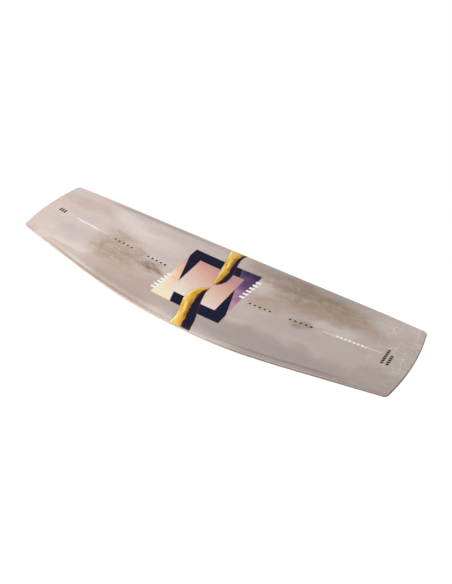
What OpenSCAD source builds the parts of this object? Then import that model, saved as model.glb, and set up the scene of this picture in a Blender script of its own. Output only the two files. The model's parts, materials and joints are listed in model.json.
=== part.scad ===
// Wakeboard: a twin-tip board with a bare deck, ready for bindings.
// Sandwich build, from the top: printed deck sheet, glass laminate, strip core, glass laminate, base sheet.
// A sidewall runs round the core, screw inserts sit in blocks, and four small fins screw on from below.
// Frame: millimetres, nose at +X, left rail at +Y, deck up at +Z.
// The origin is the middle of the flat spot on the underside.

/* [Outline] */
// Overall length, tip to tip
board_l = 1472; // [1440:2:1500]
// Width at the middle
board_w = 410; // [400:1:430]
// Radius of each rail's curve, seen from above
rail_r = 3700; // [3500:20:4200]
// Half length of the curved part of a rail, which runs straight beyond it
rail_half_arc = 443; // [420:1:460]
// Radius of the curve across each tip
tip_r = 677; // [560:1:900]
// Radius of the four corners
corner_r = 16; // [15:0.5:24]

/* [Rocker] */
// Thickness at the middle
mid_t = 17; // [16:0.5:19]
// Radius of the deck's curve, seen from the side
deck_r = 3611; // [3500:1:3750]
// Half length of the curved part of the deck, which runs straight beyond it
deck_half_arc = 353; // [345:1:360]
// Half length of the flat spot under the board
base_half_flat = 60; // [40:1:80]
// Radius of the base's curve, beyond the flat spot
base_r = 2110; // [2080:5:2150]
// Distance from the middle to where the base runs straight
base_arc_end = 300; // [290:1:310]

/* [Rail bevel] */
// Width of the bevel along each rail of the deck
bevel_w = 21; // [15:0.5:28]
// How far the bevel falls towards the rail
bevel_drop = 4.2; // [3:0.1:5]

/* [Layers] */
// Thickness of the printed deck sheet
deck_sheet_t = 0.5; // [0.4:0.1:0.8]
// Thickness of each glass laminate
laminate_t = 0.6; // [0.5:0.1:0.9]
// Thickness of the base sheet
base_sheet_t = 0.8; // [0.6:0.1:1.2]
// Glue line between bonded pieces
bond_t = 0.05; // [0.05:0.01:0.08]
// Width of the sidewall round the core
sidewall_w = 12; // [9:0.5:13]
// Distance from the middle to the joints between the sidewalls and the tip spacers
sidewall_end = 640; // [600:5:660]

/* [Core] */
// Width of the middle strip of the core, which holds the stance blocks
centre_strip_w = 52; // [44:1:60]
// Width of each hardwood stringer
stringer_w = 8; // [6:1:10]
// Width of the plank between two stringers
inner_plank_w = 54; // [46:1:56]
// Length of each stance block
stance_block_l = 264; // [256:2:280]

/* [Stance inserts] */
// Distance between the middles of the two feet
stance = 584.2; // [578:0.1:590]
// Distance between the two screws of a binding, the 6 inch standard
screw_spacing = 152.4; // [152:0.1:153]
// Distance from one insert to the next, which is 3/4 inch
insert_pitch = 19.05; // [19:0.05:19.1]
// Inserts in each group
inserts_per_group = 5; // [3:2:5]
// Bore diameter, an M6 thread at its major diameter
insert_bore_d = 6; // [5.8:0.1:6.2]
// Diameter of the collar that shows in the sheet
insert_neck_d = 8; // [7.6:0.1:8.4]
// Diameter of the barrel
insert_barrel_d = 11; // [10:0.5:12]
// Diameter of the flange that locks the insert in its block
insert_flange_d = 16; // [14:0.5:17]
// Length of the inserts nearer the middle
inner_insert_l = 13.5; // [11:0.5:14]
// Length of the inserts nearer the tips, where the board is thinner
outer_insert_l = 11; // [9:0.5:11]

/* [Fins] */
// Distance of the fins from the middle, along the board
fin_x = 590; // [580:2:600]
// Distance of the fins from the centreline
fin_y = 120; // [118:1:122]
// Height of a fin below the base
fin_h = 20; // [16:1:24]
// Length of the fin's blade where it meets its foot
fin_blade_l = 74; // [60:2:76]
// Thickness of the blade at its foot
fin_root_t = 7; // [5:0.5:8]
// Thickness of the blade at its lowest point
fin_tip_t = 3.6; // [3:0.2:4.4]
// Thickness of the fin's foot
fin_foot_t = 4; // [3.8:0.1:4.6]
// Width of the fin's foot
fin_foot_w = 16; // [15:0.5:18]
// Distance between the two screws of a fin
fin_screw_gap = 92; // [88:1:96]
// Length of a fin insert
fin_insert_l = 8; // [7:0.1:8]
// Length of a fin screw, head included
fin_screw_l = 10; // [9:0.5:10.5]

/* [Hidden] */

// Circles of the long curves, and of the small turned shapes
long_fn = 256;
small_fn = 48;

// Colours of the materials
deck_colour = [0.79, 0.72, 0.67];
cloth_colour = [0.75, 0.72, 0.6];
base_colour = [0.86, 0.82, 0.76];
edge_colour = [0.82, 0.77, 0.7];
core_colour = [0.87, 0.77, 0.58];
stringer_colour = [0.66, 0.45, 0.27];
block_colour = [0.35, 0.3, 0.27];
insert_colour = [0.45, 0.43, 0.4];
fin_colour = [0.16, 0.15, 0.15];
steel_colour = [0.7, 0.7, 0.72];

// Which way round: the nose and the left are positive
nose = 1;
tail = -1;
left = 1;
right = -1;

// Room around the board for the shapes that cut it
far_x = 800;
far_y = 300;
top_z = 140;
low_z = -30;
// How far a cutting shape runs past the face it cuts
bleed = 5;
// A straight run sits this far inside the curve it leaves, and the curve runs on past it, so they cross cleanly
run_in = 0.01;
run_past = 20;

// Depth of the core below the deck, and its height above the underside
deck_stack = deck_sheet_t + laminate_t + 2 * bond_t;
base_stack = base_sheet_t + laminate_t + 2 * bond_t;
core_inset = sidewall_w + bond_t;

// Angles of the straight ends: rails from above, deck and base from the side
rail_ang = asin(rail_half_arc / rail_r);
deck_ang = asin(deck_half_arc / deck_r);
base_ang = asin((base_arc_end - base_half_flat) / base_r);

// A rail rises with the deck as it curves in plan, so it is close to one circle in a tilted plane
tilt = atan(rail_r / deck_r);
tilted_r = rail_r * sin(90 - tilt);
tilted_sweep = asin(rail_half_arc / tilted_r);
bevel_ang = atan(bevel_drop / bevel_w);

// The middle of a tip's curve, and where a rail's straight part starts
tip_centre = [board_l / 2 - tip_r, 0];
rail_start = [rail_half_arc, board_w / 2 - rail_r * (1 - cos(rail_ang))];
rail_dir = [cos(rail_ang), -sin(rail_ang)];
rail_out = [sin(rail_ang), cos(rail_ang)];

// The middle of a corner's curve: corner_r inside the rail's line and inside the tip's curve
corner_from = rail_start - corner_r * rail_out - tip_centre;
corner_along = -corner_from * rail_dir + sqrt(
    pow(corner_from * rail_dir, 2) - corner_from * corner_from + pow(tip_r - corner_r, 2)
);
corner_centre = tip_centre + corner_from + corner_along * rail_dir;
corner_out = (corner_centre - tip_centre) / norm(corner_centre - tip_centre);

// The edges of the core's strips, out from the centreline
strip_1 = centre_strip_w / 2;
strip_2 = strip_1 + stringer_w;
strip_3 = strip_2 + inner_plank_w;
strip_4 = strip_3 + stringer_w;
block_start = stance / 2 - stance_block_l / 2;
block_end = stance / 2 + stance_block_l / 2;

// Inserts: collar length, flange thickness, floor under the bore, and the collar's depth below the sheet
insert_neck_l = 2;
insert_flange_t = 1.5;
insert_floor_t = 1.2;
insert_sunk = 0.1;
insert_barrel_top = insert_neck_l + bond_t;

// The angle of the deck under a foot, which is also the angle of its inserts
foot_ang = asin(stance / 2 / deck_r);
foot_x = stance / 2;
foot_z = deck_z(foot_x);

// Fin parts
fin_block_l = 122;
fin_block_w = 26;
fin_z = base_z(fin_x);
fin_blade_h = fin_h - fin_foot_t;
fin_arc_r = (pow(fin_blade_l / 2, 2) + pow(fin_blade_h, 2)) / 2 / fin_blade_h;
fin_foot_l = fin_screw_gap + fin_foot_w;
screw_play = 0.05;
screw_shank_r = insert_bore_d / 2 - screw_play;
screw_head_r = 6;
screw_head_t = screw_head_r - screw_shank_r;
screw_sunk = 0.3;
hex_key_af = 4;
hex_key_depth = 2;
fin_hole_r = 3.3;

// Height of the deck's surface at a distance from the middle
function deck_z(x) = x < deck_half_arc
    ? mid_t + deck_r - sqrt(deck_r * deck_r - x * x)
    : mid_t + deck_r * (1 - cos(deck_ang)) + (x - deck_half_arc) * tan(deck_ang);

// Height of the underside at a distance from the middle, on its straight part
function base_z(x) = base_r * (1 - cos(base_ang)) + (x - base_arc_end) * tan(base_ang);

// Height of the deck above the plane that touches it under the foot, at a distance along that plane
function mouth_z(u) = (deck_z(foot_x + u * cos(foot_ang)) - foot_z - u * sin(foot_ang)) * cos(foot_ang);

// Distances of a group's inserts along the foot's plane: away is -1 nearer the middle and 1 nearer the tip
function group_u(away) = [
    for (k = [0 : inserts_per_group - 1])
        away * screw_spacing / 2 + (k - (inserts_per_group - 1) / 2) * insert_pitch
];

// ---- Outline, seen from above ----

// The middle of the board between the two rails' curves, moved in by inset
module outline_middle(inset) {
    half_l = rail_half_arc + run_past;
    intersection() {
        translate([0, board_w / 2 - rail_r]) circle(rail_r - inset, $fn = long_fn);
        translate([0, rail_r - board_w / 2]) circle(rail_r - inset, $fn = long_fn);
        square([2 * half_l, 2 * far_y], center = true);
    }
}

// What lies outside the fillet at the nose's left corner
module corner_waste(inset) {
    reach = 60;
    difference() {
        polygon([
            corner_centre,
            corner_centre + reach * rail_out,
            corner_centre + reach * (rail_out + corner_out),
            corner_centre + reach * corner_out,
        ]);
        translate(corner_centre) circle(corner_r - inset, $fn = long_fn);
    }
}

// The nose between the rails' straight parts and the tip's curve, moved in by inset
module outline_nose(inset) {
    x = (rail_r - inset) * sin(rail_ang);
    y = board_w / 2 - rail_r + (rail_r - inset) * cos(rail_ang) - run_in;
    end_y = y - (far_x - x) * tan(rail_ang);
    difference() {
        intersection() {
            polygon([[x, y], [far_x, end_y], [far_x, -end_y], [x, -y]]);
            translate(tip_centre) circle(tip_r - inset, $fn = long_fn);
        }
        for (side = [0, 1]) {
            mirror([0, side]) corner_waste(inset);
        }
    }
}

module upright(inset) {
    translate([0, 0, low_z + inset]) linear_extrude(top_z - low_z - 2 * inset) children();
}

module outline_prism(inset = 0) {
    upright(inset) outline_middle(inset);
    for (side = [0, 1]) {
        mirror([side, 0, 0]) upright(inset) outline_nose(inset);
    }
}

// ---- Surfaces: everything above a curve that is flat, then an arc, then straight ----

module across_board() {
    rotate([90, 0, 0]) linear_extrude(2 * far_y, center = true) children();
}

// The curve is drawn from the side and moved up by rise; z is its height in the middle before that
module above_curve(half_flat, r, ang, z, rise) {
    arc_r = r - rise;
    x = half_flat + arc_r * sin(ang);
    end_z = z + r - arc_r * cos(ang) + run_in;
    high_z = top_z + 2 * bleed;
    if (half_flat > 0) {
        across_board() translate([-half_flat, z + rise]) square([2 * half_flat, high_z - z - rise]);
    }
    for (side = [0, 1]) {
        mirror([side, 0, 0]) {
            across_board() intersection() {
                translate([half_flat, z + r]) circle(arc_r, $fn = long_fn);
                translate([half_flat, low_z]) square([x + run_past - half_flat, high_z - low_z]);
            }
            across_board() polygon([
                [x, end_z],
                [far_x, end_z + (far_x - x) * tan(ang)],
                [far_x, high_z],
                [x, high_z],
            ]);
        }
    }
}

// Everything above the surface that lies this deep below the deck, bevels left out
module above_deck(depth) {
    above_curve(0, deck_r, deck_ang, mid_t, -depth);
}

// Everything above the surface that lies this high above the underside
module above_base(height) {
    above_curve(base_half_flat, base_r, base_ang, 0, height);
}

// ---- Rail bevel: a cone of large radius, with straight run-outs ----

// Section across the rail, from the deck's edge: the space above the bevel
module bevel_section(depth) {
    inboard = 90;
    outboard = 40;
    height = 60;
    rotate(tilt) translate([0, -bevel_drop]) rotate(-bevel_ang) {
        translate([-inboard, -depth]) square([inboard + outboard, height]);
    }
}

module above_left_bevel(depth) {
    runout_l = 400;
    sweep = tilted_sweep + tilted_sweep * run_past / rail_half_arc;
    translate([0, board_w / 2 - tilted_r * cos(tilt), mid_t + tilted_r * sin(tilt)]) {
        rotate([-tilt, 0, 0]) rotate([0, 0, 90]) {
            rotate([0, 0, -sweep]) rotate_extrude(angle = 2 * sweep, $fn = long_fn) {
                translate([tilted_r, 0]) bevel_section(depth);
            }
            for (end = [0, 1]) {
                mirror([0, end, 0]) rotate([0, 0, -tilted_sweep]) translate([tilted_r, 0, 0]) {
                    rotate([90, 0, 0]) linear_extrude(runout_l) bevel_section(depth - run_in);
                }
            }
        }
    }
}

module above_bevels(depth) {
    for (side = [0, 1]) {
        mirror([0, side, 0]) above_left_bevel(depth);
    }
}

// ---- Layers of the board ----

// The outline filled up to the surface that lies this deep below the deck
module under_deck(depth, inset = 0) {
    difference() {
        outline_prism(inset);
        above_deck(depth);
        above_bevels(depth);
    }
}

// The outline filled from the surface that lies this high above the underside
module over_base(height, inset = 0) {
    intersection() {
        outline_prism(inset);
        above_base(height);
    }
}

module deck_layer(depth, thickness) {
    difference() {
        under_deck(depth);
        under_deck(depth + thickness, -bleed);
        stance_holes();
    }
}

module base_layer(height, thickness) {
    difference() {
        over_base(height);
        over_base(height + thickness, -bleed);
        fin_holes();
    }
}

// The space between the two laminates
module between_laminates(inset) {
    difference() {
        intersection() {
            outline_prism(inset);
            above_base(base_stack);
        }
        above_deck(deck_stack);
        above_bevels(deck_stack);
    }
}

module edge_ring() {
    difference() {
        between_laminates(0);
        outline_prism(sidewall_w);
    }
}

module block_between(from, to) {
    translate(from) cube(to - from);
}

module core_piece(from_x, to_x, from_y, to_y) {
    gap = bond_t / 2;
    intersection() {
        between_laminates(core_inset);
        block_between([from_x + gap, from_y + gap, low_z], [to_x - gap, to_y - gap, top_z]);
    }
}

module on_side(side) {
    mirror([0, side == left ? 0 : 1, 0]) children();
}

module at_end(end) {
    mirror([end == nose ? 0 : 1, 0, 0]) children();
}

module deck_sheet() {
    color(deck_colour) deck_layer(0, deck_sheet_t);
}

module upper_laminate() {
    color(cloth_colour) deck_layer(deck_sheet_t + bond_t, laminate_t);
}

module lower_laminate() {
    color(cloth_colour) base_layer(base_sheet_t + bond_t, laminate_t);
}

module base_sheet() {
    color(base_colour) base_layer(0, base_sheet_t);
}

module sidewall(side) {
    color(edge_colour) intersection() {
        edge_ring();
        on_side(side) block_between([-sidewall_end, 0, low_z], [sidewall_end, far_y, top_z]);
    }
}

module tip_spacer(end) {
    color(edge_colour) intersection() {
        edge_ring();
        at_end(end) block_between([sidewall_end + bond_t, -far_y, low_z], [far_x, far_y, top_z]);
    }
}

// ---- Core ----

module centre_core_plank() {
    color(core_colour) core_piece(-block_start, block_start, -strip_1, strip_1);
}

module tip_core_plank(end) {
    color(core_colour) at_end(end) core_piece(block_end, far_x, -strip_1, strip_1);
}

module inner_core_plank(side) {
    color(core_colour) on_side(side) core_piece(-far_x, far_x, strip_2, strip_3);
}

module outer_core_plank(side) {
    color(core_colour) on_side(side) difference() {
        core_piece(-far_x, far_x, strip_4, far_y);
        for (end = [tail, nose]) {
            at_fin(end, left) fin_block_space(bond_t);
        }
    }
}

module inner_stringer(side) {
    color(stringer_colour) on_side(side) core_piece(-far_x, far_x, strip_1, strip_2);
}

module outer_stringer(side) {
    color(stringer_colour) on_side(side) core_piece(-far_x, far_x, strip_3, strip_4);
}

// ---- Inserts ----

// A threaded insert, its collar's top at z = 0 and its flange at the bottom
module insert(length) {
    neck_r = insert_neck_d / 2;
    difference() {
        union() {
            translate([0, 0, -insert_neck_l]) cylinder(h = insert_neck_l, r = neck_r, $fn = small_fn);
            translate([0, 0, -length]) {
                cylinder(h = length - insert_barrel_top, r = insert_barrel_d / 2, $fn = small_fn);
                cylinder(h = length - insert_neck_l, r = neck_r, $fn = small_fn);
                cylinder(h = insert_flange_t, r = insert_flange_d / 2, $fn = small_fn);
            }
        }
        translate([0, 0, insert_floor_t - length]) cylinder(h = length, r = insert_bore_d / 2, $fn = small_fn);
    }
}

// The collar's hole through a sheet and its laminate
module insert_mouth() {
    cylinder(h = 2 * insert_neck_l, r = insert_neck_d / 2 + bond_t, center = true, $fn = small_fn);
}

// The stepped hole in a block, bored for the flange from the bottom up
module insert_pocket(length) {
    insert_mouth();
    translate([0, 0, -length]) cylinder(h = length, r = insert_barrel_d / 2 + bond_t, $fn = small_fn);
    translate([0, 0, -2 * length]) {
        cylinder(
            h = length + insert_flange_t + bond_t,
            r = insert_flange_d / 2 + bond_t,
            $fn = small_fn
        );
    }
}

// ---- Stance blocks and their inserts ----

module at_foot(end) {
    at_end(end) translate([foot_x, 0, foot_z]) rotate([0, -foot_ang, 0]) children();
}

module at_group(away) {
    for (u = group_u(away)) {
        translate([u, 0, mouth_z(u) - insert_sunk]) children();
    }
}

module stance_holes() {
    for (end = [tail, nose], away = [-1, 1]) {
        at_foot(end) at_group(away) insert_mouth();
    }
}

module stance_block(end) {
    color(block_colour) difference() {
        at_end(end) core_piece(block_start, block_end, -strip_1, strip_1);
        at_foot(end) {
            at_group(-1) insert_pocket(inner_insert_l);
            at_group(1) insert_pocket(outer_insert_l);
        }
    }
}

module stance_inserts(end, away, length) {
    color(insert_colour) at_foot(end) at_group(away) insert(length);
}

// ---- Fins, their screws, inserts and blocks ----

// The frame of a fin: z = 0 is the underside, and down is -z
module at_fin(end, side) {
    at_end(end) on_side(side) translate([fin_x, fin_y, fin_z]) rotate([0, -base_ang, 0]) children();
}

module at_fin_screws() {
    for (k = [-1, 1]) {
        translate([k * fin_screw_gap / 2, 0, 0]) children();
    }
}

module fin_holes() {
    for (end = [tail, nose], side = [right, left]) {
        at_fin(end, side) at_fin_screws() insert_mouth();
    }
}

module fin_block_space(gap = 0) {
    size = [fin_block_l + 2 * gap, fin_block_w + 2 * gap, 2 * top_z];
    cube(size, center = true);
}

module fin_block(end, side) {
    color(block_colour) difference() {
        intersection() {
            between_laminates(core_inset);
            at_fin(end, side) fin_block_space();
        }
        at_fin(end, side) at_fin_screws() translate([0, 0, insert_sunk]) mirror([0, 0, 1]) {
            insert_pocket(fin_insert_l);
        }
    }
}

module fin_inserts(end, side) {
    color(insert_colour) at_fin(end, side) at_fin_screws() {
        translate([0, 0, insert_sunk]) mirror([0, 0, 1]) insert(fin_insert_l);
    }
}

module fin_foot_outline() {
    square([fin_screw_gap, fin_foot_w], center = true);
    for (k = [-1, 1]) {
        translate([k * fin_screw_gap / 2, 0]) circle(fin_foot_w / 2, $fn = small_fn);
    }
}

// The blade, drawn upwards: an arched side view that thins towards its crest
module fin_blade() {
    sunk = 1;
    intersection() {
        rotate([90, 0, 0]) linear_extrude(fin_foot_w, center = true) intersection() {
            translate([0, fin_blade_h - fin_arc_r]) circle(fin_arc_r, $fn = long_fn);
            translate([-fin_blade_l / 2, -sunk]) square([fin_blade_l, fin_blade_h + 2 * sunk]);
        }
        rotate([90, 0, 90]) linear_extrude(2 * fin_blade_l, center = true) polygon([
            [-fin_root_t / 2, -sunk],
            [fin_root_t / 2, -sunk],
            [fin_tip_t / 2, fin_blade_h + sunk],
            [-fin_tip_t / 2, fin_blade_h + sunk],
        ]);
    }
}

// A countersunk screw, its head's face at z = 0 and its shank along +z
module countersunk(shank_r, length) {
    cylinder(h = screw_head_t, r1 = screw_head_r, r2 = screw_head_r - screw_head_t, $fn = small_fn);
    cylinder(h = length, r = shank_r, $fn = small_fn);
}

module fin(end, side) {
    color(fin_colour) at_fin(end, side) translate([0, 0, -bond_t]) mirror([0, 0, 1]) {
        difference() {
            union() {
                linear_extrude(fin_foot_t) fin_foot_outline();
                translate([0, 0, fin_foot_t]) fin_blade();
            }
            at_fin_screws() translate([0, 0, fin_foot_t + bleed]) mirror([0, 0, 1]) {
                head_at = bleed + screw_sunk + bond_t;
                cylinder(h = head_at, r = screw_head_r + bond_t, $fn = small_fn);
                translate([0, 0, head_at]) cylinder(
                    h = screw_head_t,
                    r1 = screw_head_r + bond_t,
                    r2 = screw_shank_r + bond_t,
                    $fn = small_fn
                );
                cylinder(h = 3 * bleed, r = fin_hole_r, $fn = small_fn);
            }
        }
    }
}

module fin_screws(end, side) {
    color(steel_colour) at_fin(end, side) at_fin_screws() {
        translate([0, 0, -fin_foot_t + screw_sunk]) difference() {
            countersunk(screw_shank_r, fin_screw_l);
            cylinder(h = 2 * hex_key_depth, r = hex_key_af / sqrt(3), center = true, $fn = 6);
        }
    }
}

deck_sheet();
upper_laminate();
lower_laminate();
base_sheet();
sidewall(left);  // left_sidewall
sidewall(right);  // right_sidewall
tip_spacer(nose);  // nose_tip_spacer
tip_spacer(tail);  // tail_tip_spacer
centre_core_plank();
tip_core_plank(nose);  // nose_core_plank
tip_core_plank(tail);  // tail_core_plank
inner_core_plank(left);  // left_inner_core_plank
inner_core_plank(right);  // right_inner_core_plank
outer_core_plank(left);  // left_outer_core_plank
outer_core_plank(right);  // right_outer_core_plank
inner_stringer(left);  // left_inner_stringer
inner_stringer(right);  // right_inner_stringer
outer_stringer(left);  // left_outer_stringer
outer_stringer(right);  // right_outer_stringer
stance_block(nose);  // nose_stance_block
stance_block(tail);  // tail_stance_block
stance_inserts(nose, 1, outer_insert_l);  // nose_outer_stance_inserts
stance_inserts(nose, -1, inner_insert_l);  // nose_inner_stance_inserts
stance_inserts(tail, -1, inner_insert_l);  // tail_inner_stance_inserts
stance_inserts(tail, 1, outer_insert_l);  // tail_outer_stance_inserts
fin_block(nose, left);  // nose_left_fin_block
fin_block(nose, right);  // nose_right_fin_block
fin_block(tail, left);  // tail_left_fin_block
fin_block(tail, right);  // tail_right_fin_block
fin_inserts(nose, left);  // nose_left_fin_inserts
fin_inserts(nose, right);  // nose_right_fin_inserts
fin_inserts(tail, left);  // tail_left_fin_inserts
fin_inserts(tail, right);  // tail_right_fin_inserts
fin(nose, left);  // nose_left_fin
fin(nose, right);  // nose_right_fin
fin(tail, left);  // tail_left_fin
fin(tail, right);  // tail_right_fin
fin_screws(nose, left);  // nose_left_fin_screws
fin_screws(nose, right);  // nose_right_fin_screws
fin_screws(tail, left);  // tail_left_fin_screws
fin_screws(tail, right);  // tail_right_fin_screws
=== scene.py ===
"""Wakeboard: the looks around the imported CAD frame.

The outer layers, the rail, the fins and the fasteners are meshes built on the CAD part's own dimensions.
The core, its stringers and its blocks stay as CAD nodes and get materials.
Lengths are millimetres until a mesh is made, and metres from there on.
"""
import json
import math

import bmesh
import bpy
from mathutils import Matrix, Vector
from mathutils.geometry import delaunay_2d_cdt


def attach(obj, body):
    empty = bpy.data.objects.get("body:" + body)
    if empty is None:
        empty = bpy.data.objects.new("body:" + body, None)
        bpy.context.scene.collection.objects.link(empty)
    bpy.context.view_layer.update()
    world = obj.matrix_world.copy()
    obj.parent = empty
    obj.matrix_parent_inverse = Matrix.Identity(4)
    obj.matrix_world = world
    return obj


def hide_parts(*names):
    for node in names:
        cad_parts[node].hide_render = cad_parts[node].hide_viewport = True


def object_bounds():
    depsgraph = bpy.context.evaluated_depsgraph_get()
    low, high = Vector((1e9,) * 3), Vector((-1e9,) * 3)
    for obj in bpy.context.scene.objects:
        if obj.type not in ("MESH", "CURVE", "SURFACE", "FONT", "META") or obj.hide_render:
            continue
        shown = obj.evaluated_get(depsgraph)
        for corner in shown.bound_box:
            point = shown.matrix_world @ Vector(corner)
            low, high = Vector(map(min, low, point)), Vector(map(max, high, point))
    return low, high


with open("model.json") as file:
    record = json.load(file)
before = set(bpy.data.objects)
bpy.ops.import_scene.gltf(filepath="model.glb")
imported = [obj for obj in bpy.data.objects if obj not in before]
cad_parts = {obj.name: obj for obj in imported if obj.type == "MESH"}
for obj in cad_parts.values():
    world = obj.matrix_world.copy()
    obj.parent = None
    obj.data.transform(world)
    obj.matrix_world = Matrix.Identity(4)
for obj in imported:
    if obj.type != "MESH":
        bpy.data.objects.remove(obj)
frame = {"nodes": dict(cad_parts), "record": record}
cad_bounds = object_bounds()

MM = 0.001
BODY = "board"
ENDS = (("nose", 1), ("tail", -1))
SIDES = (("left", 1), ("right", -1))

# ---- Dimensions of the CAD part ----

BOARD_L, BOARD_W = 1472.0, 410.0
RAIL_R, RAIL_HALF_ARC = 3700.0, 443.0
TIP_R, CORNER_R = 677.0, 16.0
MID_T, DECK_R, DECK_HALF_ARC = 17.0, 3611.0, 353.0
BASE_HALF_FLAT, BASE_R, BASE_ARC_END = 60.0, 2110.0, 300.0
BEVEL_W, BEVEL_DROP = 21.0, 4.2
DECK_SHEET_T, LAMINATE_T, BASE_SHEET_T, BOND_T = 0.5, 0.6, 0.8, 0.05
SIDEWALL_W, SIDEWALL_END = 12.0, 640.0
STANCE, SCREW_SPACING, INSERT_PITCH, PER_GROUP = 584.2, 152.4, 19.05, 5
INSERT_SUNK = 0.1
INNER_INSERT_L, OUTER_INSERT_L, FIN_INSERT_L = 13.5, 11.0, 8.0
FIN_X, FIN_Y, FIN_H, FIN_BLADE_L, FIN_FOOT_T, FIN_FOOT_W = 590.0, 120.0, 20.0, 74.0, 4.0, 16.0
FIN_SCREW_GAP, FIN_SCREW_L, SCREW_SUNK = 92.0, 10.0, 0.3
FIN_SCREW_XS = (-FIN_SCREW_GAP / 2, FIN_SCREW_GAP / 2)

# Depths below the deck and heights above the underside at which the laminates and the core begin
LAMINATE_DEPTH = DECK_SHEET_T + BOND_T
CORE_DEPTH = LAMINATE_DEPTH + LAMINATE_T + BOND_T
LAMINATE_UP = BASE_SHEET_T + BOND_T
CORE_UP = LAMINATE_UP + LAMINATE_T + BOND_T

# ---- The board's surfaces ----

RAIL_ANG = math.asin(RAIL_HALF_ARC / RAIL_R)
DECK_ANG = math.asin(DECK_HALF_ARC / DECK_R)
BASE_ANG = math.asin((BASE_ARC_END - BASE_HALF_FLAT) / BASE_R)
# The rail bevel is a cone about an axis tilted between y and z
TILT = math.atan(RAIL_R / DECK_R)
TILTED_R = RAIL_R * math.cos(TILT)
TILTED_SWEEP = math.asin(RAIL_HALF_ARC / TILTED_R)
BEVEL_SLOPE = BEVEL_DROP / BEVEL_W
CREASE_SOFT = 1.3
ROLL_W, ROLL_DROP = 3.2, 1.5
# An inset well clear of the rolled rim
WELL_IN = 99.0


def rocker(x, half_flat, radius, arc_end, angle):
    """Height of a curve that starts flat in the middle, bends up on an arc and runs out straight."""
    in_arc = min(max(abs(x), half_flat), arc_end) - half_flat
    beyond = max(abs(x) - arc_end, 0)
    return radius - math.sqrt(radius * radius - in_arc * in_arc) + beyond * math.tan(angle)


def deck_z(x):
    return MID_T + rocker(x, 0, DECK_R, DECK_HALF_ARC, DECK_ANG)


def base_z(x):
    return rocker(x, BASE_HALF_FLAT, BASE_R, BASE_ARC_END, BASE_ANG)


def bevel_gap(x, y, z):
    """How far a point lies above the rail bevel, which runs out straight past the cone's sweep."""
    dy = y - (BOARD_W / 2 - TILTED_R * math.cos(TILT))
    dz = z - (MID_T + TILTED_R * math.sin(TILT))
    py = dy * math.cos(TILT) - dz * math.sin(TILT)
    pz = dy * math.sin(TILT) + dz * math.cos(TILT)
    if math.atan2(x, py) > TILTED_SWEEP:
        rho = x * math.sin(TILTED_SWEEP) + py * math.cos(TILTED_SWEEP)
    else:
        rho = math.hypot(x, py)
    out = (rho - TILTED_R) * math.cos(TILT) + pz * math.sin(TILT)
    up = -(rho - TILTED_R) * math.sin(TILT) + pz * math.cos(TILT)
    return up + BEVEL_DROP + out * BEVEL_SLOPE


def bevel_z(x, y):
    """Height of the bevel, in three Newton steps from the deck's height."""
    x, y = abs(x), abs(y)
    z = deck_z(x)
    for _ in range(3):
        gap = bevel_gap(x, y, z)
        slope = bevel_gap(x, y, z + 1) - gap
        z -= gap / slope
    return z


def top_z(x, y, inset=WELL_IN):
    """The deck's surface, with the crease of the bevel softened and the outer few millimetres rolled over."""
    a, b = deck_z(x), bevel_z(x, y)
    h = max(CREASE_SOFT - abs(a - b), 0) / CREASE_SOFT
    roll = 0.0
    if inset < ROLL_W:
        roll = ROLL_DROP * (1 - math.sqrt(max(1 - (1 - inset / ROLL_W) ** 2, 0)))
    return min(a, b) - h * h * CREASE_SOFT / 4 - roll


# ---- Outline, as points with outward normals, from the nose round by the left rail ----

TIP_STEPS, CORNER_STEPS, CUT_STEPS, STRAIGHT_STEPS, RAIL_STEPS = 18, 12, 4, 18, 40
TIP_CENTRE = Vector((BOARD_L / 2 - TIP_R, 0))
RAIL_START = Vector((RAIL_HALF_ARC, BOARD_W / 2 - RAIL_R * (1 - math.cos(RAIL_ANG))))
RAIL_DIR = Vector((math.cos(RAIL_ANG), -math.sin(RAIL_ANG)))
RAIL_OUT = Vector((math.sin(RAIL_ANG), math.cos(RAIL_ANG)))
# The corner's centre lies CORNER_R inside the straight run and inside the tip's arc
_from = RAIL_START - CORNER_R * RAIL_OUT - TIP_CENTRE
_along = -_from.dot(RAIL_DIR) + math.sqrt(
    _from.dot(RAIL_DIR) ** 2 - _from.dot(_from) + (TIP_R - CORNER_R) ** 2
)
CORNER_CENTRE = TIP_CENTRE + _from + _along * RAIL_DIR
CORNER_ANG = math.atan2(CORNER_CENTRE.y - TIP_CENTRE.y, CORNER_CENTRE.x - TIP_CENTRE.x)
CORNER_END = CORNER_CENTRE + CORNER_R * RAIL_OUT


def on_straight(x):
    t = (x - RAIL_START.x) / RAIL_DIR.x
    return RAIL_START + t * RAIL_DIR


def spaced(start, end, steps):
    """Even steps from start towards end, without end itself."""
    return [start + (end - start) * i / steps for i in range(steps)]


def arc(centre, radius, angles):
    """(point, outward normal) pairs on a circle."""
    pts = []
    for a in angles:
        d = Vector((math.cos(a), math.sin(a)))
        pts.append((centre + radius * d, d))
    return pts


def quarter_outline():
    """From the nose's middle to the left rail's middle: (point, normal) pairs."""
    pts = arc(TIP_CENTRE, TIP_R, spaced(0, CORNER_ANG, TIP_STEPS))
    pts += arc(CORNER_CENTRE, CORNER_R, spaced(CORNER_ANG, math.pi / 2 - RAIL_ANG, CORNER_STEPS))
    stops = spaced(CORNER_END.x, SIDEWALL_END, CUT_STEPS) + spaced(SIDEWALL_END, RAIL_START.x, STRAIGHT_STEPS)
    pts += [(on_straight(x), RAIL_OUT.copy()) for x in stops]
    rail_centre = Vector((0, BOARD_W / 2 - RAIL_R))
    pts += arc(rail_centre, RAIL_R, spaced(math.pi / 2 - RAIL_ANG, math.pi / 2, RAIL_STEPS))
    return pts + [(Vector((0, BOARD_W / 2)), Vector((0, 1)))]


def mirrored(pairs, flip):
    return [(p * flip, d * flip) for p, d in reversed(pairs)]


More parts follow.
